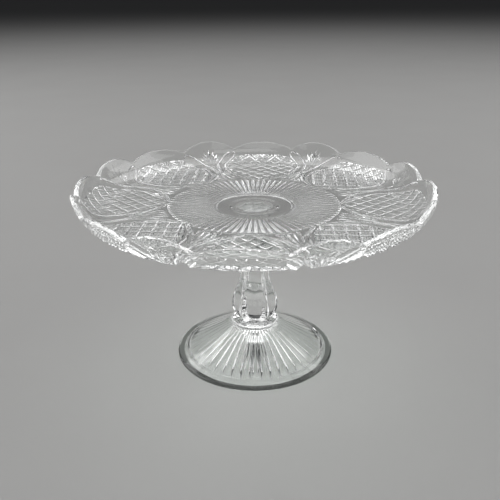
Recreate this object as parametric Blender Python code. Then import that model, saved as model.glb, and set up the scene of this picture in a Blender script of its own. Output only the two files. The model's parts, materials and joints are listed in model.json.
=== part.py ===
"""Footed cake stand in pressed glass: a scalloped plate, its wafer, a panelled stem, a collar and a foot.

Metres, +Z up. The origin is where the stand's axis meets the surface it stands on.
One wide medallion of the plate, one panel of the stem and the foot's mould seam face -Y.
"""

import math

import bmesh
import bpy

# ---------- driving dimensions ----------

FUSED_GAP = 0.0003                   # between the faces of two pieces that are fused together

# plate
STAND_HEIGHT = 0.1119                # surface to the middle of the plate's underside
PLATE_RADIUS = 0.1245                # outside of the lip
WELL_RADIUS = 0.1020                 # inside of the plate, where the cake stands
WALL_START_STEP = 0.0030             # the outside of the wall starts to rise this much further out
DISH_RISE = 0.0017                   # the plate lies this much higher outside the sunburst than at its middle
BASE_THICKNESS = 0.0050
LIP_THICKNESS = 0.0032
WALL_CURVE_RISE = 0.0185             # well to the height at which the wall's curve would stand upright
SCALLOP_PAIRS = 8                    # each pair is a wide scallop and a narrow one
WIDE_SCALLOP_SHARE = 0.533           # of a pair's angle
NOTCH_RISE = 0.0100                  # well to the notches between scallops
WIDE_SCALLOP_RISE = 0.0149
NARROW_SCALLOP_RISE = 0.0167
LIP_CROWN = 0.0010                   # rounding of the lip, counted in the rises

# pressed pattern, cut up into the plate's underside
CENTRE_DISC_RADIUS = 0.0276
SUNBURST_RADIUS = 0.0600
FLUTES_PER_PAIR = 10
FLUTE_DEPTH = 0.0012
FLUTE_END = 0.0009                   # length over which a flute runs out
MEDALLION_MIDDLE = 0.0912            # from the axis
MEDALLION_LENGTH = 0.0604            # of the diamond-cut pad
MEDALLION_WIDTH = 0.0580
CHANNEL_SHARE = 0.28                 # width of the channel round the pad, as a share of the pad's half size
CHANNEL_DEPTH = 0.0014

# wafer under the plate
WAFER_RADIUS = 0.0150
WAFER_THICKNESS = 0.0030

# stem
STEM_PANELS = 6
STEM_NECK_RADIUS = 0.0110
STEM_BULB_RADIUS = 0.0175
STEM_BASE_RADIUS = 0.0112
STEM_TOP_RADIUS = 0.0130
STEM_BULB_HEIGHT = 0.0115            # widest point, above the stem's lower end
STEM_NECK_HEIGHT = 0.0350            # where the bulb has run into the neck, above the stem's lower end
STEM_FLARE = 0.0140                  # length of the flare under the wafer
PANEL_FLATNESS = 0.85                # 1 gives flat panels, 0 a round stem

# collar between stem and foot
COLLAR_RADIUS = 0.0178
COLLAR_THICKNESS = 0.0026

# foot
FOOT_RADIUS = 0.0587
FOOT_RISE = 0.0248                   # surface to the flat land under the collar
FOOT_BORDER_WIDTH = 0.0092           # plain border outside the ribs
FOOT_BORDER_HEIGHT = 0.0058          # top of the border where the ribs end
FOOT_THICKNESS = 0.0046
FOOT_EDGE_RADIUS = 0.0017            # rounding of the foot's edge
RESTING_RING_WIDTH = 0.0040
RIB_COUNT = 44
RIB_DEPTH = 0.0011

# ---------- places that follow from the dimensions ----------

UNDERSIDE_HEIGHT = STAND_HEIGHT + DISH_RISE
WELL_HEIGHT = UNDERSIDE_HEIGHT + BASE_THICKNESS
UNDERSIDE_RADIUS = WELL_RADIUS + WALL_START_STEP
WAFER_TOP = STAND_HEIGHT - FUSED_GAP
STEM_TOP = WAFER_TOP - WAFER_THICKNESS - FUSED_GAP
COLLAR_BOTTOM = FOOT_RISE + FUSED_GAP
STEM_BOTTOM = COLLAR_BOTTOM + COLLAR_THICKNESS + FUSED_GAP
PAIR_ANGLE = math.tau / SCALLOP_PAIRS
FLUTE_COUNT = SCALLOP_PAIRS * FLUTES_PER_PAIR
FRONT = -math.pi / 2

SCALLOP_STEPS = 10                   # mesh columns across one scallop
WALL_RINGS = 6
MEDALLION_RINGS = 7
ROUND_STEPS = 48                     # mesh columns of the wafer and the collar
PANEL_STEPS = 4                      # mesh columns of one stem panel
DISC_EDGE_TURNS = (90, 50, 18, -18, -50, -90)
FOOT_EDGE_TURNS = (70, 40, 10, -25, -60, -90)
BULB_RINGS = 6                       # mesh rings of the stem below its widest point
SHOULDER_RINGS = 8                   # from the widest point to the neck
FLARE_RINGS = 4
SHARP_ANGLE = 35                     # degrees; edges over it are left sharp


def glass(name, colour, roughness):
    """A clear glass material."""
    material = bpy.data.materials.new(name)
    material.use_nodes = True
    shader = material.node_tree.nodes["Principled BSDF"]
    shader.inputs["Base Color"].default_value = (*colour, 1.0)
    shader.inputs["Roughness"].default_value = roughness
    shader.inputs["Metallic"].default_value = 0.0
    shader.inputs["Transmission Weight"].default_value = 1.0
    shader.inputs["IOR"].default_value = 1.51
    return material


def turned(name, top, rings, bottom, material):
    """A closed solid from rings of points, listed from the middle of its top outwards and back to its bottom.

    A ring is a list of (angle, radius, height), and top and bottom are the heights of the two middle points.
    """
    shape = bmesh.new()
    loops = []
    for ring in rings:
        loops.append([
            shape.verts.new((radius * math.cos(angle), radius * math.sin(angle), height))
            for angle, radius, height in ring
        ])
    top_point = shape.verts.new((0.0, 0.0, top))
    bottom_point = shape.verts.new((0.0, 0.0, bottom))
    count = len(rings[0])
    for step in range(count):
        following = (step + 1) % count
        shape.faces.new((top_point, loops[0][step], loops[0][following]))
        shape.faces.new((bottom_point, loops[-1][following], loops[-1][step]))
        for inner, outer in zip(loops, loops[1:]):
            shape.faces.new((inner[step], outer[step], outer[following], inner[following]))
    bmesh.ops.triangulate(shape, faces=shape.faces, quad_method="SHORT_EDGE")
    mesh = bpy.data.meshes.new(name)
    shape.to_mesh(mesh)
    shape.free()
    mesh.shade_smooth()
    mesh.set_sharp_from_angle(angle=math.radians(SHARP_ANGLE))
    mesh.materials.append(material)
    solid = bpy.data.objects.new(name, mesh)
    bpy.context.scene.collection.objects.link(solid)
    return solid


def round_ring(count, radius, height):
    return [(FRONT + math.tau * step / count, radius, height) for step in range(count)]


def quarter(start, width, rise, turn):
    """A point on a quarter ellipse that leaves start level and outwards, at a turn up to a right angle."""
    radius, height = start
    return radius + width * math.sin(turn), height + rise * (1.0 - math.cos(turn))


# ---------- plate ----------

def scallop_columns():
    """For each mesh column: its even angle, its angle at the lip, and the rise of the lip there."""
    columns = []
    wide_half = WIDE_SCALLOP_SHARE * PAIR_ANGLE / 2
    narrow_half = PAIR_ANGLE / 2 - wide_half
    for scallop in range(2 * SCALLOP_PAIRS):
        is_wide = scallop % 2 == 0
        half = wide_half if is_wide else narrow_half
        tip_rise = WIDE_SCALLOP_RISE if is_wide else NARROW_SCALLOP_RISE
        middle = FRONT + scallop * PAIR_ANGLE / 2
        for step in range(SCALLOP_STEPS):
            across = 2.0 * step / SCALLOP_STEPS - 1.0
            even = middle + across * PAIR_ANGLE / 4
            at_lip = middle + across * half
            rise = NOTCH_RISE + (tip_rise - NOTCH_RISE) * (1.0 - across**2)
            columns.append((even, at_lip, rise))
    return columns


def channel_depth(angle, radius):
    """Depth of the channel that frames the nearest medallion, at a point of the underside."""
    from_axis = (angle - FRONT + PAIR_ANGLE / 2) % PAIR_ANGLE - PAIR_ANGLE / 2
    across = radius * math.sin(from_axis) / (MEDALLION_WIDTH / 2)
    along = (radius * math.cos(from_axis) - MEDALLION_MIDDLE) / (MEDALLION_LENGTH / 2)
    outwards = math.hypot(across, along) - 1.0
    share = 2.0 * outwards / CHANNEL_SHARE - 1.0
    return CHANNEL_DEPTH * max(0.0, 1.0 - share**2)


def plate_wall(columns, start, width, rise, base_rise):
    """Rings up one side of the wall, from its flat to the lip. The flat lies base_rise below the well."""
    rings = []
    for ring in range(1, WALL_RINGS + 1):
        share = ring / WALL_RINGS
        points = []
        for even, at_lip, lip_rise in columns:
            last_turn = math.acos(1.0 - (lip_rise - LIP_CROWN + base_rise) / rise)
            radius, height = quarter(start, width, rise, share * last_turn)
            points.append((even + (at_lip - even) * share, radius, height))
        rings.append(points)
    return rings


def underside(radius):
    """Height of the plate's uncut underside inside its wall."""
    share = (radius - CENTRE_DISC_RADIUS) / (SUNBURST_RADIUS - CENTRE_DISC_RADIUS)
    return STAND_HEIGHT + DISH_RISE * min(1.0, max(0.0, share))


def build_plate(material):
    columns = scallop_columns()
    well_edge = (WELL_RADIUS, WELL_HEIGHT)
    underside_edge = (UNDERSIDE_RADIUS, UNDERSIDE_HEIGHT)
    inner_width = PLATE_RADIUS - LIP_THICKNESS - WELL_RADIUS
    outer_width = PLATE_RADIUS - UNDERSIDE_RADIUS
    inside = plate_wall(columns, well_edge, inner_width, WALL_CURVE_RISE, 0.0)
    outer_rise = WALL_CURVE_RISE + BASE_THICKNESS
    outside = plate_wall(columns, underside_edge, outer_width, outer_rise, BASE_THICKNESS)
    crown = [
        (at_lip, (inner[1] + outer[1]) / 2, WELL_HEIGHT + rise)
        for (_, at_lip, rise), inner, outer in zip(columns, inside[-1], outside[-1])
    ]
    well = [
        [(even, radius, underside(radius) + BASE_THICKNESS) for even, _, _ in columns]
        for radius in (CENTRE_DISC_RADIUS, SUNBURST_RADIUS, WELL_RADIUS)
    ]
    flat = [(even, UNDERSIDE_RADIUS, UNDERSIDE_HEIGHT) for even, _, _ in columns]

    medallions = []
    first = SUNBURST_RADIUS + FLUTE_END
    for ring in range(MEDALLION_RINGS, 0, -1):
        radius = first + (UNDERSIDE_RADIUS - first) * (ring - 1) / MEDALLION_RINGS
        medallions.append(
            [(even, radius, UNDERSIDE_HEIGHT + channel_depth(even, radius)) for even, _, _ in columns]
        )

    columns_per_flute = len(columns) // FLUTE_COUNT
    sunburst = []
    for radius, depth in (
        (SUNBURST_RADIUS, 0.0),
        (SUNBURST_RADIUS - FLUTE_END, FLUTE_DEPTH),
        (CENTRE_DISC_RADIUS + FLUTE_END, FLUTE_DEPTH),
        (CENTRE_DISC_RADIUS, 0.0),
    ):
        sunburst.append(
            [
                (even, radius, underside(radius) + (0.0 if step % columns_per_flute else depth))
                for step, (even, _, _) in enumerate(columns)
            ]
        )

    rings = [*well, *inside, crown, *reversed(outside), flat, *medallions, *sunburst]
    return turned("plate", STAND_HEIGHT + BASE_THICKNESS, rings, STAND_HEIGHT, material)


# ---------- wafer and collar ----------

def build_disc(name, radius, bottom, thickness, material):
    """A pressed disc whose edge is half round."""
    edge = thickness / 2
    middle = bottom + edge
    rings = []
    for turn in DISC_EDGE_TURNS:
        angle = math.radians(turn)
        rings.append(
            round_ring(ROUND_STEPS, radius - edge + edge * math.cos(angle), middle + edge * math.sin(angle))
        )
    return turned(name, bottom + thickness, rings, bottom, material)


# ---------- stem ----------

def smooth(share):
    share = min(1.0, max(0.0, share))
    return share * share * (3.0 - 2.0 * share)


def stem_radius(height):
    """Radius over the stem's corners, at a height above its lower end."""
    length = STEM_TOP - STEM_BOTTOM
    if height < STEM_BULB_HEIGHT:
        share = 1.0 - height / STEM_BULB_HEIGHT
        return STEM_BULB_RADIUS - (STEM_BULB_RADIUS - STEM_BASE_RADIUS) * share**2
    if height < STEM_NECK_HEIGHT:
        share = (height - STEM_BULB_HEIGHT) / (STEM_NECK_HEIGHT - STEM_BULB_HEIGHT)
        return STEM_BULB_RADIUS + (STEM_NECK_RADIUS - STEM_BULB_RADIUS) * smooth(share)
    flare = 1.0 - (length - height) / STEM_FLARE
    return STEM_NECK_RADIUS + (STEM_TOP_RADIUS - STEM_NECK_RADIUS) * max(0.0, flare) ** 2


def panel_share(across):
    """Radius at a place across a panel, from -1 to 1, as a share of the radius over the corners."""
    half = math.pi / STEM_PANELS
    flat = math.cos(half) / math.cos(across * half)
    return 1.0 + PANEL_FLATNESS * (flat - 1.0)


def build_stem(material):
    length = STEM_TOP - STEM_BOTTOM
    shoulder = STEM_NECK_HEIGHT - STEM_BULB_HEIGHT
    heights = [STEM_BULB_HEIGHT * step / BULB_RINGS for step in range(BULB_RINGS)]
    heights += [STEM_BULB_HEIGHT + shoulder * step / SHOULDER_RINGS for step in range(SHOULDER_RINGS + 1)]
    heights += [length - STEM_FLARE * (1.0 - step / FLARE_RINGS) for step in range(FLARE_RINGS + 1)]
    rings = []
    for height in reversed(heights):
        ring = []
        for column in range(STEM_PANELS * PANEL_STEPS):
            panel, step = divmod(column, PANEL_STEPS)
            across = 2.0 * step / PANEL_STEPS - 1.0
            angle = FRONT + (panel + across / 2) * math.tau / STEM_PANELS
            ring.append((angle, stem_radius(height) * panel_share(across), STEM_BOTTOM + height))
        rings.append(ring)
    return turned("stem", STEM_TOP, rings, STEM_BOTTOM, material)


# ---------- foot ----------

def foot_top(radius):
    """Height of the foot's upper side between its land and its border."""
    border = FOOT_RADIUS - FOOT_BORDER_WIDTH
    share = (border - radius) / (border - COLLAR_RADIUS)
    return FOOT_BORDER_HEIGHT + (FOOT_RISE - FOOT_BORDER_HEIGHT) * share


def build_foot(material):
    count = 2 * RIB_COUNT
    border = FOOT_RADIUS - FOOT_BORDER_WIDTH
    edge_middle = FOOT_RADIUS - FOOT_EDGE_RADIUS
    rings = [round_ring(count, COLLAR_RADIUS, FOOT_RISE), round_ring(count, border, FOOT_BORDER_HEIGHT)]
    for turn in FOOT_EDGE_TURNS:
        angle = math.radians(turn)
        radius = edge_middle + FOOT_EDGE_RADIUS * math.cos(angle)
        rings.append(round_ring(count, radius, FOOT_EDGE_RADIUS * (1.0 + math.sin(angle))))
    rings.append(round_ring(count, edge_middle - RESTING_RING_WIDTH, 0.0))

    rib_end = 2 * RIB_DEPTH              # length over which a rib runs out
    for radius, is_ribbed in (
        (border, False),
        (border - rib_end, True),
        ((border + COLLAR_RADIUS) / 2, True),
        (COLLAR_RADIUS + rib_end, True),
        (COLLAR_RADIUS, False),
    ):
        ring = round_ring(count, radius, foot_top(radius) - FOOT_THICKNESS)
        if is_ribbed:
            ring[1::2] = [(angle, radius, height + RIB_DEPTH) for angle, radius, height in ring[1::2]]
        rings.append(ring)
    return turned("foot", FOOT_RISE, rings, FOOT_RISE - FOOT_THICKNESS, material)


def build():
    for old in list(bpy.data.objects):
        bpy.data.objects.remove(old, do_unlink=True)
    build_plate(glass("plate_glass", (0.97, 0.98, 0.97), 0.02))
    build_disc(
        "plate_wafer", WAFER_RADIUS, WAFER_TOP - WAFER_THICKNESS, WAFER_THICKNESS,
        glass("wafer_glass", (0.96, 0.98, 0.97), 0.03),
    )
    build_stem(glass("stem_glass", (0.97, 0.98, 0.97), 0.02))
    build_disc(
        "foot_collar", COLLAR_RADIUS, COLLAR_BOTTOM, COLLAR_THICKNESS,
        glass("collar_glass", (0.96, 0.98, 0.97), 0.03),
    )
    build_foot(glass("foot_glass", (0.97, 0.98, 0.97), 0.02))


build()
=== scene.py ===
# Footed cake stand in clear pressed glass, as it looks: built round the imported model, in the same frame.
import bisect
import json
import math

import bmesh
import bpy
from mathutils import Matrix, Vector
from mathutils.geometry import delaunay_2d_cdt


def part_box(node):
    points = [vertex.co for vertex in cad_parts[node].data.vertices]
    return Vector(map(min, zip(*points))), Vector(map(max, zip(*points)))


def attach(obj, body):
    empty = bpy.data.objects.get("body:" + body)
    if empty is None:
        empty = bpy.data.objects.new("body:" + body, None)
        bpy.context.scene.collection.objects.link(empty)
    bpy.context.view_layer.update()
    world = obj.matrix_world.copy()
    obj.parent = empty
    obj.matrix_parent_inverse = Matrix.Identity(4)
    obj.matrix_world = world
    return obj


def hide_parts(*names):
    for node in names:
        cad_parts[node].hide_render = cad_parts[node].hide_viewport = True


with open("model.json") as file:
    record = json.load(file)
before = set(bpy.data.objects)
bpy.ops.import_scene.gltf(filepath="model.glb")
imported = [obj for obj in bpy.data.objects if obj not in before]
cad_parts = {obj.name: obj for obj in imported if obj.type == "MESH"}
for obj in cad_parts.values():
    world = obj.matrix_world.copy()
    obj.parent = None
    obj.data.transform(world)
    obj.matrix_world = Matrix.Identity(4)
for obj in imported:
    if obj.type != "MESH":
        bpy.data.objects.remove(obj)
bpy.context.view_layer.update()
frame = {"record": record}

mounts = {mount["name"]: Vector(mount["pos_m"]) for mount in frame["record"]["mounts"]}
mm = 0.001
print("frame loaded")


def deselectAll():
    if bpy.context.object and bpy.context.object.mode != "OBJECT":
        bpy.ops.object.mode_set(mode="OBJECT")
    bpy.ops.object.select_all(action="DESELECT")


def makeActive(piece):
    deselectAll()
    piece.select_set(True)
    bpy.context.view_layer.objects.active = piece


def buildObject(name, verts, faces):
    data = bpy.data.meshes.new(name)
    data.from_pydata([vert * mm for vert in verts], [], faces)
    piece = bpy.data.objects.new(name, data)
    bpy.context.scene.collection.objects.link(piece)
    return piece


def addGrid(verts, faces, rows):
    # rows of points of equal count, with faces between them
    start, count = len(verts), len(rows[0])
    for row in rows:
        verts.extend(row)
    for row in range(len(rows) - 1):
        for column in range(count - 1):
            corner = start + row * count + column
            faces.append((corner, corner + 1, corner + count + 1, corner + count))


def addTip(verts, faces, row, height):
    # closes a row of points down to the axis
    start = len(verts)
    verts.extend([Vector((0.0, 0.0, height))] + row)
    faces.extend((start, start + step, start + step + 1) for step in range(1, len(row)))


def turnedPoint(angle, radius, height):
    # angles run from +Y towards +X
    return Vector((radius * math.sin(angle), radius * math.cos(angle), height))


def mirrorAndSpin(piece, copies):
    # a half sector beside +Y becomes a whole one, then goes round the axis
    makeActive(piece)
    mirror = piece.modifiers.new("otherHalf", "MIRROR")
    mirror.use_axis = (True, False, False)
    mirror.merge_threshold = 0.002 * mm
    bpy.ops.object.modifier_apply(modifier=mirror.name)
    bpy.ops.object.mode_set(mode="EDIT")
    bpy.ops.mesh.select_all(action="SELECT")
    bpy.ops.mesh.spin(
        steps=copies - 1, dupli=True, angle=math.tau * (copies - 1) / copies,
        center=(0, 0, 0), axis=(0, 0, 1),
    )
    bpy.ops.object.mode_set(mode="OBJECT")


def closeAndSmooth(piece, degrees, mergeWithin=0.002 * mm):
    # welds the doubles, turns the faces outwards and keeps the crisp edges
    makeActive(piece)
    bpy.ops.object.mode_set(mode="EDIT")
    bpy.ops.mesh.select_all(action="SELECT")
    bpy.ops.mesh.remove_doubles(threshold=mergeWithin)
    bpy.ops.mesh.normals_make_consistent(inside=False)
    bpy.ops.object.mode_set(mode="OBJECT")
    bpy.ops.object.shade_smooth_by_angle(angle=math.radians(degrees))


def settle(piece, node, materials, fusedFace):
    # gives a finished piece its materials and its place in the frame
    for material in materials:
        piece.data.materials.append(material)
    for face in piece.data.polygons:
        face.material_index = 1 if fusedFace(face) else 0
    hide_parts(node)
    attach(piece, "root")


def ease(share):
    share = min(1.0, max(0.0, share))
    return share * share * (3.0 - 2.0 * share)


class Shade:
    # a socket on which sums can be written; each sum adds a Math node
    def __init__(self, tree, socket):
        self.tree = tree
        self.socket = socket

    def sum(self, operation, first, second):
        return self.tree.node("ShaderNodeMath", {"operation": operation}, {0: first, 1: second})

    def __add__(self, other):
        return self.sum("ADD", self, other)

    def __radd__(self, other):
        return self.sum("ADD", other, self)

    def __sub__(self, other):
        return self.sum("SUBTRACT", self, other)

    def __rsub__(self, other):
        return self.sum("SUBTRACT", other, self)

    def __mul__(self, other):
        return self.sum("MULTIPLY", self, other)

    def __rmul__(self, other):
        return self.sum("MULTIPLY", other, self)

    def __pow__(self, other):
        return self.sum("POWER", self, other)


class Tree:
    # one material's nodes
    def __init__(self, name):
        self.material = bpy.data.materials.new(name)
        self.material.use_nodes = True
        self.nodes = self.material.node_tree.nodes
        self.links = self.material.node_tree.links
        self.nodes.clear()

    def node(self, kind, settings, sockets, output=0):
        made = self.nodes.new(kind)
        for setting, value in settings.items():
            setattr(made, setting, value)
        for key, value in sockets.items():
            if isinstance(value, Shade):
                self.links.new(value.socket, made.inputs[key])
            else:
                made.inputs[key].default_value = value
        return Shade(self, made.outputs[output])

    def blend(self, share, first, second):
        # colours between first and second
        return self.node("ShaderNodeMix", {"data_type": "RGBA"}, {0: share, 6: first, 7: second}, output=2)

    def close(self, surface):
        end = self.nodes.new("ShaderNodeOutputMaterial")
        self.links.new(surface.socket, end.inputs["Surface"])
        return self.material


glassLook = {
    "clear": (0.992, 0.996, 0.993, 1.0),
    "thick": (0.968, 0.980, 0.972, 1.0),
    "shadowTone": (0.90, 0.92, 0.91, 1.0),
    "index": 1.51,
    "waveLength": 0.016,
    "waveHeight": 0.00006,
    "skinLength": 0.0022,
    "skinHeight": 0.000006,
}


def pressedGlass(name, roughness, look=glassLook):
    tree = Tree(name)
    place = tree.node("ShaderNodeTexCoord", {}, {}, output="Object")
    noise = "ShaderNodeTexNoise"
    wave = tree.node(noise, {}, {"Vector": place, "Scale": 1 / look["waveLength"], "Detail": 1.5})
    skin = tree.node(noise, {}, {"Vector": place, "Scale": 1 / look["skinLength"], "Detail": 3.0})
    smear = tree.node(noise, {}, {"Vector": place, "Scale": 38.0, "Detail": 5.0, "Roughness": 0.6})
    height = wave * look["waveHeight"] + skin * look["skinHeight"]
    bump = tree.node("ShaderNodeBump", {}, {"Height": height, "Strength": 1.0, "Distance": 1.0})
    colour = tree.blend(wave, look["clear"], look["thick"])
    glass = tree.node(
        "ShaderNodeBsdfPrincipled", {},
        {
            "Base Color": colour,
            "Roughness": roughness * (0.4 + smear),
            "IOR": look["index"],
            "Transmission Weight": 1.0,
            "Normal": bump,
        },
    )
    passing = tree.node("ShaderNodeBsdfTransparent", {}, {"Color": look["shadowTone"]})
    isShadow = tree.node("ShaderNodeLightPath", {}, {}, output="Is Shadow Ray")
    return tree.close(tree.node("ShaderNodeMixShader", {}, {0: isShadow, 1: glass, 2: passing}))


def fusedGlass():
    # inside the joins the glass runs on without a surface
    tree = Tree("fusedGlass")
    return tree.close(tree.node("ShaderNodeBsdfTransparent", {}, {"Color": (1.0, 1.0, 1.0, 1.0)}))


plateGlass = pressedGlass("plateGlass", 0.015)
stemGlass = pressedGlass("stemGlass", 0.015)
discGlass = pressedGlass("discGlass", 0.02)
joinGlass = fusedGlass()


plateLow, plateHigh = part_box("plate")
plate = {
    "radius": 124.5,
    "bottom": plateLow.z / mm,   # underside at the middle
    "well": mounts["cake_rest"].z / mm,
    "thickness": 5.0,
    "wellRadius": 102.0,
    "flatRadius": 105.0,         # underside, where the wall starts to rise
    "lip": 3.2,
    "wallRise": 18.5,
    "notch": 10.0,               # heights of the rim above the well
    "wideTip": 14.9,
    "narrowTip": 16.7,
    "crown": 1.0,
    "pairs": 8,
    "wideHalf": 12.0,            # degrees
    "rimColumns": 30,            # on half a pair
    "centreDisc": 27.6,
    "sunburst": 60.0,
    "flutes": 5,                 # on half a pair
    "fluteColumns": 8,
}
halfPair = math.pi / plate["pairs"]
flatHeight = plate["well"] - plate["thickness"]
wallWidth = plate["radius"] - plate["flatRadius"]
wallHeight = plate["wallRise"] + plate["thickness"]


def underside(radius):
    # height of the uncut underside, which rises a little from the centre disc to the rim of the sunburst
    share = (radius - plate["centreDisc"]) / (plate["sunburst"] - plate["centreDisc"])
    return plate["bottom"] + (flatHeight - plate["bottom"]) * min(1.0, max(0.0, share))


def arcTable(width, height, steps=400):
    # lengths along a quarter ellipse, from its level start
    lengths = [0.0]
    last = (0.0, 0.0)
    for step in range(1, steps + 1):
        turn = math.pi / 2 * step / steps
        point = (width * math.sin(turn), height * (1 - math.cos(turn)))
        lengths.append(lengths[-1] + math.dist(last, point))
        last = point
    return lengths


wallArc = arcTable(wallWidth, wallHeight)


def turnAt(length):
    # the turn round the quarter ellipse at a length along it
    step = min(max(bisect.bisect_right(wallArc, length) - 1, 0), len(wallArc) - 2)
    part = (length - wallArc[step]) / (wallArc[step + 1] - wallArc[step])
    return math.pi / 2 * (step + part) / (len(wallArc) - 1)


def lengthAt(turn):
    place = turn / (math.pi / 2) * (len(wallArc) - 1)
    step = min(int(place), len(wallArc) - 2)
    return wallArc[step] + (place - step) * (wallArc[step + 1] - wallArc[step])


def outside(across, along, depth):
    # a point of the developed pattern, cut to a depth, on the plate's outside
    reach = math.hypot(across, along)
    angle = math.atan2(across, along)
    if reach <= plate["flatRadius"]:
        radius, height = reach, flatHeight + depth
    else:
        turn = turnAt(reach - plate["flatRadius"])
        rise = Vector((wallWidth * math.cos(turn), wallHeight * math.sin(turn))).normalized()
        radius = plate["flatRadius"] + wallWidth * math.sin(turn) - rise.y * depth
        height = flatHeight + wallHeight * (1 - math.cos(turn)) + rise.x * depth
    return turnedPoint(angle, radius, height)


def rimRise(angle):
    # height of the rim above the well, at an angle from the middle of a wide scallop
    wide = math.radians(plate["wideHalf"])
    if angle <= wide:
        tip, across = plate["wideTip"], angle / wide
    else:
        tip, across = plate["narrowTip"], (halfPair - angle) / (halfPair - wide)
    return plate["notch"] + (tip - plate["notch"]) * (1 - across ** 2)


def rimAngles():
    # angles of the rim's columns over half a pair: as many on the wide scallop as on the narrow one
    half = plate["rimColumns"] // 2
    wide = math.radians(plate["wideHalf"])
    first = [wide * step / half for step in range(half)]
    return first + [wide + (halfPair - wide) * step / half for step in range(half + 1)]


def rimReach(angle):
    edge = rimRise(angle) - plate["crown"] + plate["thickness"]
    return plate["flatRadius"] + lengthAt(math.acos(1 - edge / wallHeight))


medallion = {
    "channel": [(3.0, 61.0), (11.5, 64.8), (20, 70.5), (26.8, 78), (30.9, 87), (33.2, 95),
                (34.2, 103), (33.2, 110), (30.2, 117), (25.4, 123.2)],   # its middle: across, along
    "channelHalf": 3.9,
    "channelStart": 0.9,
    "channelGrows": 32.0,        # length over which it reaches its full width
    "channelCloses": 8.0,        # length of its rounded end
    "channelDepth": 1.9,
    "channelRows": 10,
    "border": 1.3,               # smooth border between channel and diamonds
    "borderDepth": 0.1,
    "crest": [(24.4, 116.8), (21, 119.6), (15, 121.5), (7.5, 122.4), (0, 122.6)],     # outer end of the pad
    "node": 107.8,               # a crossing of two mitre cuts, on the axis of the medallion
    "pitch": 8.1,                # between mitre cuts
    "mitreHalf": 1.15,
    "mitreDepth": 1.7,
    "diamondDepth": 1.0,
    "diamonds": 3,               # on the side of one block
}
leaves = {
    "focus": 90.0,
    "tips": 62.6,
    "shoulder": 67.5,
    "spacing": 4.3,
    "count": 2,
    "depth": 1.0,
    "ridge": 0.1,
}
fan = {
    "focus": 112.0,
    "start": 2.4,
    "lengths": (17.5, 17.0, 15.0, 12.0),     # the middle ray first
    "step": 16.0,                # degrees between rays
    "broadest": 0.72,            # share of a ray's length
    "half": 1.15,
    "depth": 1.4,
}
plainStep = 2.6                  # mesh size on the plain part of the wall


def smoothCurve(points, samples):
    # a Catmull-Rom curve through the points
    ends = [2 * Vector(points[0]) - Vector(points[1])] + [Vector(p) for p in points]
    ends.append(2 * Vector(points[-1]) - Vector(points[-2]))
    curve = []
    for before, start, stop, after in zip(ends, ends[1:], ends[2:], ends[3:]):
        for step in range(samples):
            t = step / samples
            curve.append(0.5 * (2 * start + (stop - before) * t
                                + (2 * before - 5 * start + 4 * stop - after) * t ** 2
                                + (3 * start - before - 3 * stop + after) * t ** 3))
    curve.append(Vector(points[-1]))
    return curve


def channelRows():
    # rows along the channel, from its inner edge to its outer one: (share across, points)
    middle = smoothCurve(medallion["channel"], 5)
    lengths = [0.0]
    for start, stop in zip(middle, middle[1:]):
        lengths.append(lengths[-1] + (stop - start).length)
    rows = []
    count = medallion["channelRows"]
    for row in range(count + 1):
        share = 2 * row / count - 1
        points = []
        for index, point in enumerate(middle):
            ahead = middle[min(index + 1, len(middle) - 1)] - middle[max(index - 1, 0)]
            outwards = Vector((ahead.y, -ahead.x)).normalized()
            growth = min(1.0, lengths[index] / medallion["channelGrows"])
            grown = medallion["channelStart"]
            grown += (medallion["channelHalf"] - medallion["channelStart"]) * growth
            left = lengths[-1] - lengths[index]
            closing = math.sqrt(max(0.0, 1 - max(0.0, 1 - left / medallion["channelCloses"]) ** 2))
            half = max(grown * closing, 0.0)
            points.append((point + outwards * half * share, half))
        rows.append((share, points))
    return rows


def inside(point, loop):
    # whether a point lies in a closed loop
    hit = False
    for start, stop in zip(loop, loop[1:] + loop[:1]):
        if (start[1] > point[1]) != (stop[1] > point[1]):
            crossing = start[0] + (point[1] - start[1]) / (stop[1] - start[1]) * (stop[0] - start[0])
            hit ^= point[0] < crossing
    return hit


def clipLine(origin, direction, loop):
    # the stretches of a line that lie inside a loop
    cuts = []
    for start, stop in zip(loop, loop[1:] + loop[:1]):
        edge = Vector(stop) - Vector(start)
        cross = direction.x * edge.y - direction.y * edge.x
        if abs(cross) < 1e-9:
            continue
        offset = Vector(start) - origin
        along = (offset.x * edge.y - offset.y * edge.x) / cross
        share = (offset.x * direction.y - offset.y * direction.x) / cross
        if 0 <= share < 1:
            cuts.append(along)
    cuts.sort()
    pairs = [(a, b) for a, b in zip(cuts[::2], cuts[1::2]) if b - a > 0.05]
    return [(origin + direction * a, origin + direction * b) for a, b in pairs]


class Pattern:
    # points and lines of the flat pattern, each point with the depth it is cut to
    def __init__(self):
        self.points = []
        self.depths = []
        self.lines = []

    def add(self, point, depth):
        self.points.append(Vector((point[0], point[1])))
        self.depths.append(depth)
        return len(self.points) - 1

    def trace(self, points, depths):
        marks = [self.add(point, depth) for point, depth in zip(points, depths)]
        self.lines += list(zip(marks, marks[1:]))
        return marks

    def farFromAll(self, point, distance):
        return all((point - other).length_squared > distance ** 2 for other in self.points)


def latticeDepth(point):
    # depth of the diamond cutting at a point of the pad
    along = point[1] - medallion["node"]
    depths = []
    for place in ((point[0] + along) / math.sqrt(2), (along - point[0]) / math.sqrt(2)):
        offset = abs((place / medallion["pitch"] + 0.5) % 1.0 - 0.5) * medallion["pitch"]
        if offset < medallion["mitreHalf"]:
            share = offset / medallion["mitreHalf"]
            change = medallion["diamondDepth"] - medallion["mitreDepth"]
            depths.append(medallion["mitreDepth"] + change * share)
        else:
            small = (medallion["pitch"] - 2 * medallion["mitreHalf"]) / medallion["diamonds"]
            wave = abs(((offset - medallion["mitreHalf"]) / small) % 1.0 - 0.5) * 2
            depths.append(medallion["diamondDepth"] * wave)
    return max(depths)


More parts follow.
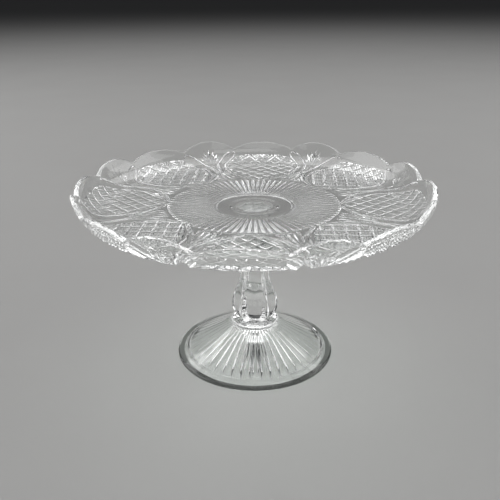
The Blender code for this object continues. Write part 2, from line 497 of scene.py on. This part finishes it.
def latticeOffsets():
    # places of the cut lines on one pitch, and of the points of the diamonds between them
    small = (medallion["pitch"] - 2 * medallion["mitreHalf"]) / medallion["diamonds"]
    cuts = [0.0] + [medallion["mitreHalf"] + small * step for step in range(medallion["diamonds"] + 1)]
    tips = [medallion["mitreHalf"] + small * (step + 0.5) for step in range(medallion["diamonds"])]
    return cuts, tips


def drawLattice(pattern, pad):
    cuts, tips = latticeOffsets()
    pitch = medallion["pitch"]
    node = Vector((0.0, medallion["node"]))
    first = Vector((1, 1)) / math.sqrt(2)
    second = Vector((-1, 1)) / math.sqrt(2)
    loop = [tuple(point) for point in pad]
    crossings = []
    for number in range(-7, 8):
        for cut in cuts:
            for across, direction in ((first, second), (second, first)):
                for start, stop in clipLine(node + across * (number * pitch + cut), direction, loop):
                    onAxis = [end.x < 0.001 for end in (start, stop)]
                    depths = [
                        latticeDepth(end) if isOnAxis else medallion["borderDepth"]
                        for end, isOnAxis in zip((start, stop), onAxis)
                    ]
                    pattern.trace([start, stop], depths)
    for row in range(-7, 8):
        for column in range(-7, 8):
            corner = node + first * (row * pitch) + second * (column * pitch)
            crossings.append(corner)
            for tipRow in tips:
                for tipColumn in tips:
                    tip = corner + first * tipRow + second * tipColumn
                    if tip.x >= -1e-6 and inside(tip, loop):
                        pattern.add(tip, latticeDepth(tip))
    for corner in crossings:
        for side, other in ((1, 1), (1, -1), (-1, 1), (-1, -1)):
            end = corner + (first * side + second * other) * medallion["mitreHalf"]
            if min(corner.x, end.x) > -1e-6 and inside(corner, loop) and inside(end, loop):
                pattern.trace([corner, end], [latticeDepth(corner), latticeDepth(end)])


def drawLeaves(pattern, axis, side):
    # pointed leaves with their tips towards the sunburst; axis runs between two medallions
    focus = axis * leaves["focus"]
    for number in range(leaves["count"] + 1):
        tip = axis * leaves["tips"] + side * (leaves["spacing"] * number)
        pattern.trace([focus, tip], [0.0, leaves["ridge"]])
        valley = side * (leaves["spacing"] * (number + 0.5))
        shoulder = axis * leaves["shoulder"] + valley
        runOut = axis * (leaves["tips"] + 0.6) + valley
        pattern.trace([focus, shoulder, runOut], [0.0, leaves["depth"], 0.0])
    outer = side * (leaves["spacing"] * (leaves["count"] + 0.95))
    pattern.trace([focus, axis * (leaves["shoulder"] + 1.5) + outer, runOut], [0.0, 0.0, 0.0])


def drawFan(pattern, axis, side):
    # rays cut into the narrow scallop
    focus = axis * fan["focus"]
    for number, length in enumerate(fan["lengths"]):
        turn = math.radians(fan["step"] * number)
        ray = axis * math.cos(turn) + side * math.sin(turn)
        across = side * math.cos(turn) - axis * math.sin(turn)
        start, tip = focus + ray * fan["start"], focus + ray * length
        broad = focus + ray * (fan["broadest"] * length)
        pattern.trace([start, broad, tip], [0.0, fan["depth"], 0.0])
        for way in ((1,) if number == 0 else (1, -1)):
            pattern.trace([start, broad + across * (fan["half"] * way), tip], [0.0, 0.0, 0.0])


def drawPlainWall(pattern, loop, keepOut):
    # even points where the wall is plain
    reach = plate["flatRadius"]
    while reach < 140:
        count = max(2, round(reach * halfPair / plainStep))
        for step in range(count + 1):
            angle = halfPair * step / count
            point = Vector((reach * math.sin(angle), reach * math.cos(angle)))
            onSide = step in (0, count)
            if not onSide and not inside(point, loop):
                continue
            if reach > rimReach(angle) - 0.6 * plainStep:
                continue
            if any(inside(point, area) for area in keepOut):
                continue
            if pattern.farFromAll(point, 0.62 * plainStep):
                pattern.add(point, 0.0)
        reach += plainStep * 0.9


def halfPattern():
    pattern = Pattern()
    rows = channelRows()
    for share, points in rows:
        pattern.trace(
            [point for point, half in points],
            [medallion["channelDepth"] * (1 - abs(share) ** 3) * min(1.0, half / 2.2)
             for point, half in points],
        )
    innerEdge = rows[0][1]
    border = []
    for (point, half), (opposite, _) in zip(innerEdge, rows[-1][1]):
        inwards = (point - opposite).normalized() if half > 0.3 else Vector((-1.0, 0.2)).normalized()
        moved = point + inwards * medallion["border"]
        if moved.x > 0.6 and moved.y < medallion["crest"][0][1] - 0.8:
            border.append(moved)
    crest = smoothCurve([tuple(border[-1])] + medallion["crest"], 5)[1:]
    apex = Vector((0.0, border[0].y - border[0].x * 0.7))
    pad = [apex] + border + crest
    pattern.trace(pad, [medallion["borderDepth"]] * len(pad))
    drawLattice(pattern, pad)

    axis = Vector((math.sin(halfPair), math.cos(halfPair)))
    side = Vector((-math.cos(halfPair), math.sin(halfPair)))
    drawLeaves(pattern, axis, side)
    drawFan(pattern, axis, side)

    innerColumns = plate["flutes"] * plate["fluteColumns"]
    start = plate["sunburst"] + 0.8
    inner = [Vector((math.sin(halfPair * s / innerColumns), math.cos(halfPair * s / innerColumns))) * start
             for s in range(innerColumns + 1)]
    outer = [Vector((math.sin(angle), math.cos(angle))) * rimReach(angle) for angle in rimAngles()]
    loop = [tuple(point) for point in inner + outer[::-1]]
    marks = [pattern.add(point, 0.0) for point in inner + outer[::-1]]
    pattern.lines += list(zip(marks, marks[1:] + marks[:1]))
    band = [tuple(point) for point, _ in rows[0][1]] + [tuple(point) for point, _ in rows[-1][1]][::-1]
    drawPlainWall(pattern, loop, [[tuple(point) for point in pad], band])
    return fillPattern(pattern, loop, pad)


def fillPattern(pattern, loop, pad):
    # triangles between the lines, and the depth of each of their corners
    corners, _, faces, sources, _, _ = delaunay_2d_cdt(pattern.points, pattern.lines, [], 0, 1e-4)
    padLoop = [tuple(point) for point in pad]
    depths = []
    for corner, source in zip(corners, sources):
        inPad = inside((max(corner.x, 0.001), corner.y), padLoop)
        if source:
            depth = min(pattern.depths[index] for index in source)
            isLattice = inPad and depth != medallion["borderDepth"]
        else:
            depth = medallion["borderDepth"]
            isLattice = inPad and borderDistance(corner, pad) > 0.02
        depths.append(latticeDepth(corner) if isLattice else depth)
    kept = []
    for face in faces:
        middle = sum((corners[index] for index in face), Vector((0.0, 0.0))) / len(face)
        if inside(middle, loop):
            kept.append(face)
    return [outside(c.x, c.y, d) for c, d in zip(corners, depths)], kept


def borderDistance(point, pad):
    nearest = 1e9
    for start, stop in zip(pad, pad[1:]):
        edge = stop - start
        share = min(1.0, max(0.0, (point - start).dot(edge) / edge.length_squared))
        nearest = min(nearest, (start + edge * share - point).length)
    return nearest


def fluteRows():
    # rows of the reeded sunburst from its outer edge inwards
    # each gives radius and depth for a place across a reed, -1 to 1
    outer, centre = plate["sunburst"], plate["centreDisc"]
    rows = [
        lambda a: (outer + 0.8, 0.0),
        lambda a: (outer + 0.35, 0.75),
        lambda a: (outer - 0.1 - 1.3 * a ** 2, 0.35 + 0.5 * a ** 2),
        lambda a: (outer - 0.8 - 1.5 * a ** 2, 0.1 + 0.85 * a ** 2),
        lambda a: (outer - 2.2 - 0.8 * a ** 2, 1.1 * a ** 2),
    ]
    for share in (0.25, 0.5, 0.75, 1.0):
        radius = outer - 4.0 + (centre + 2.2 - outer + 4.0) * share
        rows.append(lambda a, radius=radius: (radius, 1.1 * (radius / outer) ** 0.7 * a ** 2))
    rows += [
        lambda a: (centre + 1.2, 0.3 + 0.3 * a ** 2),
        lambda a: (centre + 0.7, 0.5),
    ]
    for radius, depth in ((0.3, 0.1), (0.0, 0.0), (-0.5, 0.0), (-1.0, 0.25), (-1.6, 0.6), (-4.0, 0.7)):
        rows.append(lambda a, radius=radius, depth=depth: (centre + radius, depth))
    for radius, depth in ((18.5, 0.7), (17.0, 0.5), (16.0, 0.1), (15.4, 0.0), (13.4, 0.0)):
        rows.append(lambda a, radius=radius, depth=depth: (radius, depth))
    return rows


def insideRows():
    # rows over the lip's crown, down the inside of the wall and on to the flat well
    innerWidth = plate["radius"] - plate["lip"] - plate["wellRadius"]
    columns = []
    for angle in rimAngles():
        rise = rimRise(angle) - plate["crown"]
        outerTurn = math.acos(1 - (rise + plate["thickness"]) / wallHeight)
        innerTurn = math.acos(1 - rise / plate["wallRise"])
        outer = plate["flatRadius"] + wallWidth * math.sin(outerTurn)
        columns.append((angle, outer, plate["wellRadius"] + innerWidth * math.sin(innerTurn), innerTurn))
    rows = []
    for step in range(9):
        turn = math.pi * step / 8
        row = []
        for angle, outer, inner, _ in columns:
            radius = (outer + inner) / 2 + (outer - inner) / 2 * math.cos(turn)
            height = plate["well"] + rimRise(angle) - plate["crown"] * (1 - math.sin(turn))
            row.append(turnedPoint(angle, radius, height))
        rows.append(row)
    for step in range(1, 17):
        row = []
        for angle, _, _, innerTurn in columns:
            turn = innerTurn * (1 - step / 16)
            radius = plate["wellRadius"] + innerWidth * math.sin(turn)
            row.append(turnedPoint(angle, radius, plate["well"] + plate["wallRise"] * (1 - math.cos(turn))))
        rows.append(row)
    for radius in (96.0, 78.0, 60.0, 44.0, 27.6, 14.0):
        height = underside(radius) + plate["thickness"]
        rows.append([turnedPoint(angle, radius, height) for angle in rimAngles()])
    return rows


def makePlate():
    verts, faces = halfPattern()
    print("pattern of one half sector:", len(faces), "faces")
    columns = plate["flutes"] * plate["fluteColumns"]
    rows = []
    for row in fluteRows():
        points = []
        for column in range(columns + 1):
            radius, depth = row(2 * (column % plate["fluteColumns"]) / plate["fluteColumns"] - 1)
            points.append(turnedPoint(halfPair * column / columns, radius, underside(radius) + depth))
        rows.append(points)
    addGrid(verts, faces, rows)
    addTip(verts, faces, rows[-1], plate["bottom"])
    rows = insideRows()
    addGrid(verts, faces, rows)
    addTip(verts, faces, rows[-1], plate["bottom"] + plate["thickness"])
    piece = buildObject("pressedPlate", verts, faces)
    mirrorAndSpin(piece, plate["pairs"])
    closeAndSmooth(piece, 24)
    return piece


pressedPlate = makePlate()
settle(
    pressedPlate, "plate", (plateGlass, joinGlass),
    lambda face: face.normal.z < -0.99 and face.center.xy.length < 13.4 * mm,
)
print("plate done:", len(pressedPlate.data.polygons), "faces")


def makeDisc(name, node, roundness, bevelSteps):
    low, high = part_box(node)
    radius = (high.x - low.x) / 2
    depth = high.z - low.z
    deselectAll()
    bpy.ops.mesh.primitive_cylinder_add(
        vertices=128, radius=radius, depth=depth, end_fill_type="NGON",
        location=(0, 0, (low.z + high.z) / 2),
    )
    piece = bpy.context.object
    piece.name = name
    bpy.ops.object.transform_apply(location=True, rotation=True, scale=True)
    bpy.ops.object.mode_set(mode="EDIT")
    bpy.ops.mesh.select_all(action="DESELECT")
    mesh = bmesh.from_edit_mesh(piece.data)
    for edge in mesh.edges:
        level = abs(edge.verts[0].co.z - edge.verts[1].co.z) < 1e-6
        edge.select_set(level)
    bmesh.update_edit_mesh(piece.data)
    bpy.ops.mesh.bevel(offset=depth * roundness, segments=bevelSteps, profile=0.5, clamp_overlap=True)
    bpy.ops.object.mode_set(mode="OBJECT")
    closeAndSmooth(piece, 30)
    return piece


waferDisc = makeDisc("plateWafer", "plate_wafer", 0.42, 6)
settle(
    waferDisc, "plate_wafer", (discGlass, joinGlass),
    lambda face: abs(face.normal.z) > 0.999,
)
collarDisc = makeDisc("footCollar", "foot_collar", 0.4, 6)
settle(
    collarDisc, "foot_collar", (discGlass, joinGlass),
    lambda face: abs(face.normal.z) > 0.999,
)
print("wafer and collar done")


stemLow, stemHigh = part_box("stem")
stem = {
    "panels": 6,
    "panelSteps": 10,
    "flatness": 1.6,             # over 1 the panels are slightly hollow
    "bulbRoundness": 0.6,
    "neck": 11.0,
    "bulb": 17.5,
    "base": 11.2,
    "top": 13.0,
    "bulbHeight": 11.5,
    "neckHeight": 35.0,
    "flare": 14.0,
    "levels": 56,
    "ridgeRounding": 0.4,
}


def stemRadius(height, length):
    if height < stem["bulbHeight"]:
        share = 1 - height / stem["bulbHeight"]
        return stem["base"] + (stem["bulb"] - stem["base"]) * (1 - share ** 2) ** stem["bulbRoundness"]
    if height < stem["neckHeight"]:
        share = (height - stem["bulbHeight"]) / (stem["neckHeight"] - stem["bulbHeight"])
        return stem["bulb"] + (stem["neck"] - stem["bulb"]) * ease(share)
    share = max(0.0, 1 - (length - height) / stem["flare"])
    return stem["neck"] + (stem["top"] - stem["neck"]) * share ** 2


def makeStem():
    # a circle is shaped to the six panels, then drawn up level by level
    length = (stemHigh.z - stemLow.z) / mm
    deselectAll()
    bpy.ops.mesh.primitive_circle_add(
        vertices=stem["panels"] * stem["panelSteps"], radius=stem["base"] * mm, fill_type="NGON",
        location=(0, 0, stemLow.z),
    )
    piece = bpy.context.object
    piece.name = "panelledStem"
    bpy.ops.object.transform_apply(location=True, rotation=True, scale=True)
    half = math.pi / stem["panels"]
    for vert in piece.data.vertices:
        angle = math.atan2(vert.co.y, vert.co.x) + math.pi / 2
        across = (angle / half + 1) % 2 - 1
        share = 1 + stem["flatness"] * (math.cos(half) / math.cos(across * half) - 1)
        vert.co.x *= share
        vert.co.y *= share
    bpy.ops.object.mode_set(mode="EDIT")
    bpy.ops.mesh.select_all(action="SELECT")
    last = stemRadius(0, length)
    reached = 0.0
    for level in range(1, stem["levels"] + 1):
        # the levels lie closer together at the round lower end
        height = length * (level / stem["levels"]) ** 1.5
        radius = stemRadius(height, length)
        bpy.ops.mesh.extrude_region_move(TRANSFORM_OT_translate={"value": (0, 0, (height - reached) * mm)})
        bpy.ops.transform.resize(value=(radius / last, radius / last, 1), center_override=(0, 0, 0))
        last, reached = radius, height
    bpy.ops.object.mode_set(mode="OBJECT")
    rounding = piece.modifiers.new("ridges", "BEVEL")
    rounding.width = stem["ridgeRounding"] * mm
    rounding.segments = 2
    rounding.limit_method = "ANGLE"
    rounding.angle_limit = math.radians(32)
    bpy.ops.object.modifier_apply(modifier=rounding.name)
    closeAndSmooth(piece, 30)
    return piece


panelledStem = makeStem()
settle(
    panelledStem, "stem", (stemGlass, joinGlass),
    lambda face: abs(face.normal.z) > 0.999,
)
print("stem done")


footLow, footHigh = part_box("foot")
collarLow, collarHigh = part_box("foot_collar")
foot = {
    "radius": (footHigh.x - footLow.x) / 2 / mm,
    "rise": footHigh.z / mm,
    "land": (collarHigh.x - collarLow.x) / 2 / mm,
    "borderWidth": 9.2,          # plain border outside the cuts
    "borderHeight": 5.8,
    "thickness": 4.6,
    "edge": 1.7,
    "restWidth": 4.0,
    "cuts": 44,
    "cutHalf": 1.7,              # half the width of a cut
    "cutDepth": 2.0,
    "cutStart": 18.8,            # from the axis
    "cutStep": 0.9,              # plain ring between the cuts' points and the border
    "cutTip": 4.2,               # length of the point
    "ringStep": 1.0,             # height of the step to the border
    "seamHalf": 0.3,             # mould seam over the border
    "seamHeight": 0.15,
}
footBorder = foot["radius"] - foot["borderWidth"]


def footTop(radius):
    share = (footBorder - radius) / (footBorder - foot["land"])
    return foot["borderHeight"] + (foot["rise"] - foot["borderHeight"]) * share


def cutWidth(radius):
    # half the width of a cut, which runs to a point at its outer end
    tip = (footBorder - foot["cutStep"] - radius) / foot["cutTip"]
    return foot["cutHalf"] * min(1.0, max(0.02, tip)) ** 0.8


def footOutline():
    # plain rows: from the land over the top, round the edge to the ring it rests on and its inner step
    edge = foot["radius"] - foot["edge"]
    land = foot["land"]
    spots = [(land - 4.0, foot["rise"]), (land - 0.6, foot["rise"])]
    for share in (0.03, 0.2, 0.4, 0.6, 0.8, 0.97):
        radius = land + (footBorder - land) * share
        spots.append((radius, footTop(radius)))
    for turn in (76, 62, 45, 28, 10, -8, -26, -45, -66, -90):
        angle = math.radians(turn)
        spots.append((edge + foot["edge"] * math.cos(angle), foot["edge"] * (1 + math.sin(angle))))
    spots += [(edge - foot["restWidth"], 0.0), (edge - foot["restWidth"] - 0.5, 0.25)]
    ceiling = footTop(footBorder) - foot["thickness"]
    return spots + [(footBorder + 1.2, ceiling), (footBorder + 0.9, ceiling + 0.3 * foot["ringStep"])]


def footCuts():
    # radii of the rows across the cuts, from their points inwards
    tip = footBorder - foot["cutStep"]
    radii = [tip - foot["cutTip"] * share for share in (0.0, 0.12, 0.3, 0.55, 0.8, 1.0)]
    return radii + [tip + (foot["cutStart"] - tip) * share for share in (0.25, 0.4, 0.6, 0.8, 0.98)]


def makeFoot():
    # half a cut and half the land beside it: columns at the cut's middle, its side, its edge and the land
    half = math.pi / foot["cuts"]
    verts, faces = [], []
    seam = foot["seamHalf"]
    rows = [[turnedPoint(min(half, across / radius), radius, height)
             for across in (0.0, seam, 2 * seam, 0.3 * radius * half, radius * half)]
            for radius, height in footOutline()]
    addGrid(verts, faces, rows)
    addTip(verts, faces, rows[0], foot["rise"])
    rows = [rows[-1]]
    step = foot["ringStep"]
    for out, lift in ((0.3, 1.3), (0.0, 1.6), (-0.3, 1.5), (-0.7, 1.0)):
        radius = footBorder + out
        height = footTop(radius) - foot["thickness"] + lift * step
        rows.append([turnedPoint(across * half, radius, height) for across in (0.0, 0.1, 0.2, 0.5, 1.0)])
    for radius in footCuts():
        width = min(cutWidth(radius), 0.86 * radius * half)
        plain = footTop(radius) - foot["thickness"] + step
        depth = foot["cutDepth"] * width / foot["cutHalf"]
        row = []
        land = (width + radius * half) / 2
        for across, share in ((0.0, 1.0), (0.45 * width, 0.62), (width, 0.0), (land, 0.0)):
            row.append(turnedPoint(across / radius, radius, plain + depth * share))
        row.append(turnedPoint(half, radius, plain))
        rows.append(row)
    ceiling = foot["rise"] - foot["thickness"] + step
    inmost = foot["land"] - 2.0
    rows.append([turnedPoint(half * across, inmost, ceiling) for across in (0.0, 0.2, 0.45, 0.7, 1.0)])
    addGrid(verts, faces, rows)
    addTip(verts, faces, rows[-1], ceiling)
    piece = buildObject("ribbedFoot", verts, faces)
    mirrorAndSpin(piece, foot["cuts"])
    closeAndSmooth(piece, 26)
    raiseSeam(piece)
    return piece


def raiseSeam(piece):
    # the mould seam is a low ridge over the border, on the side that faces -Y
    for vert in piece.data.vertices:
        radius = vert.co.xy.length / mm
        onFront = vert.co.y < 0 and abs(vert.co.x) < 0.05 * mm
        if onFront and radius > footBorder and vert.co.z > 0.1 * mm:
            outwards = Vector((0.0, -1.0, 1.0)).normalized()
            vert.co += outwards * foot["seamHeight"] * mm


ribbedFoot = makeFoot()
settle(
    ribbedFoot, "foot", (stemGlass, joinGlass),
    lambda face: face.normal.z > 0.999 and face.center.z > (foot["rise"] - 0.05) * mm,
)
print("foot done")


stage = {
    "floorSize": 60.0,
    "floorLight": (0.325, 0.322, 0.317, 1.0),
    "floorDark": (0.304, 0.301, 0.296, 1.0),
    "sky": (0.04, 0.041, 0.043, 1.0),
    "skyStrength": 1.0,
    "lamps": [
        # name, place, target, size, radiance
        ("back", (-0.3, 1.5, 3.2), (0, 0, 0.1), (5.0, 3.2), 2.0),
        ("left", (-1.9, 0.3, 1.0), (0, 0, 0.1), (2.0, 1.8), 1.9),
        ("right", (1.9, 0.5, 1.0), (0, 0, 0.1), (1.8, 1.8), 1.9),
        ("front", (0.4, -1.5, 2.7), (0, 0, 0.1), (1.8, 1.0), 2.0),
        ("low", (0.0, -1.7, 0.5), (0, 0, 0.1), (2.4, 0.6), 1.2),
    ],
}


def makeFloor():
    deselectAll()
    bpy.ops.mesh.primitive_plane_add(size=stage["floorSize"], location=(0, 0, 0))
    floor = bpy.context.object
    floor.name = "floor"
    tree = Tree("floorPaper")
    place = tree.node("ShaderNodeTexCoord", {}, {}, output="Object")
    mottle = tree.node("ShaderNodeTexNoise", {}, {"Vector": place, "Scale": 6.0, "Detail": 2.0})
    colour = tree.blend(mottle, stage["floorLight"], stage["floorDark"])
    surface = tree.node("ShaderNodeBsdfPrincipled", {}, {"Base Color": colour, "Roughness": 0.7})
    floor.data.materials.append(tree.close(surface))


def makeLamps():
    for name, place, target, size, radiance in stage["lamps"]:
        lamp = bpy.data.lights.new(name, "AREA")
        lamp.shape = "RECTANGLE"
        lamp.size, lamp.size_y = size
        lamp.energy = radiance * math.pi * size[0] * size[1]
        holder = bpy.data.objects.new(name, lamp)
        holder.location = place
        holder.rotation_euler = (Vector(target) - Vector(place)).to_track_quat("-Z", "Y").to_euler()
        bpy.context.scene.collection.objects.link(holder)
    world = bpy.data.worlds.new("room")
    world.use_nodes = True
    background = world.node_tree.nodes["Background"]
    background.inputs["Color"].default_value = stage["sky"]
    background.inputs["Strength"].default_value = stage["skyStrength"]
    bpy.context.scene.world = world


camera = {
    "turn": 3.884,               # degrees round the stand
    "place": (-0.00327, -0.42697, 0.25852),
    "down": 22.482,
    "roll": -0.384,
    "lens": 45.884,
    "sensor": 36.0,
}


def makeCamera():
    view = bpy.data.cameras.new("view")
    view.lens = camera["lens"]
    view.sensor_width = camera["sensor"]
    view.clip_start = 0.01
    holder = bpy.data.objects.new("view", view)
    around = Matrix.Rotation(math.radians(camera["turn"]), 4, "Z")
    tilt = Matrix.Rotation(math.radians(90 - camera["down"]), 4, "X")
    roll = Matrix.Rotation(math.radians(camera["roll"]), 4, "Z")
    holder.matrix_world = Matrix.Translation(around @ Vector(camera["place"])) @ around @ tilt @ roll
    bpy.context.scene.collection.objects.link(holder)
    bpy.context.scene.camera = holder


makeFloor()
makeLamps()
makeCamera()
bpy.context.scene.cycles.max_bounces = 24
bpy.context.scene.cycles.transmission_bounces = 24
bpy.context.scene.cycles.glossy_bounces = 12
bpy.context.scene.cycles.transparent_max_bounces = 24
bpy.context.scene.view_settings.view_transform = "Standard"
print("stage done")
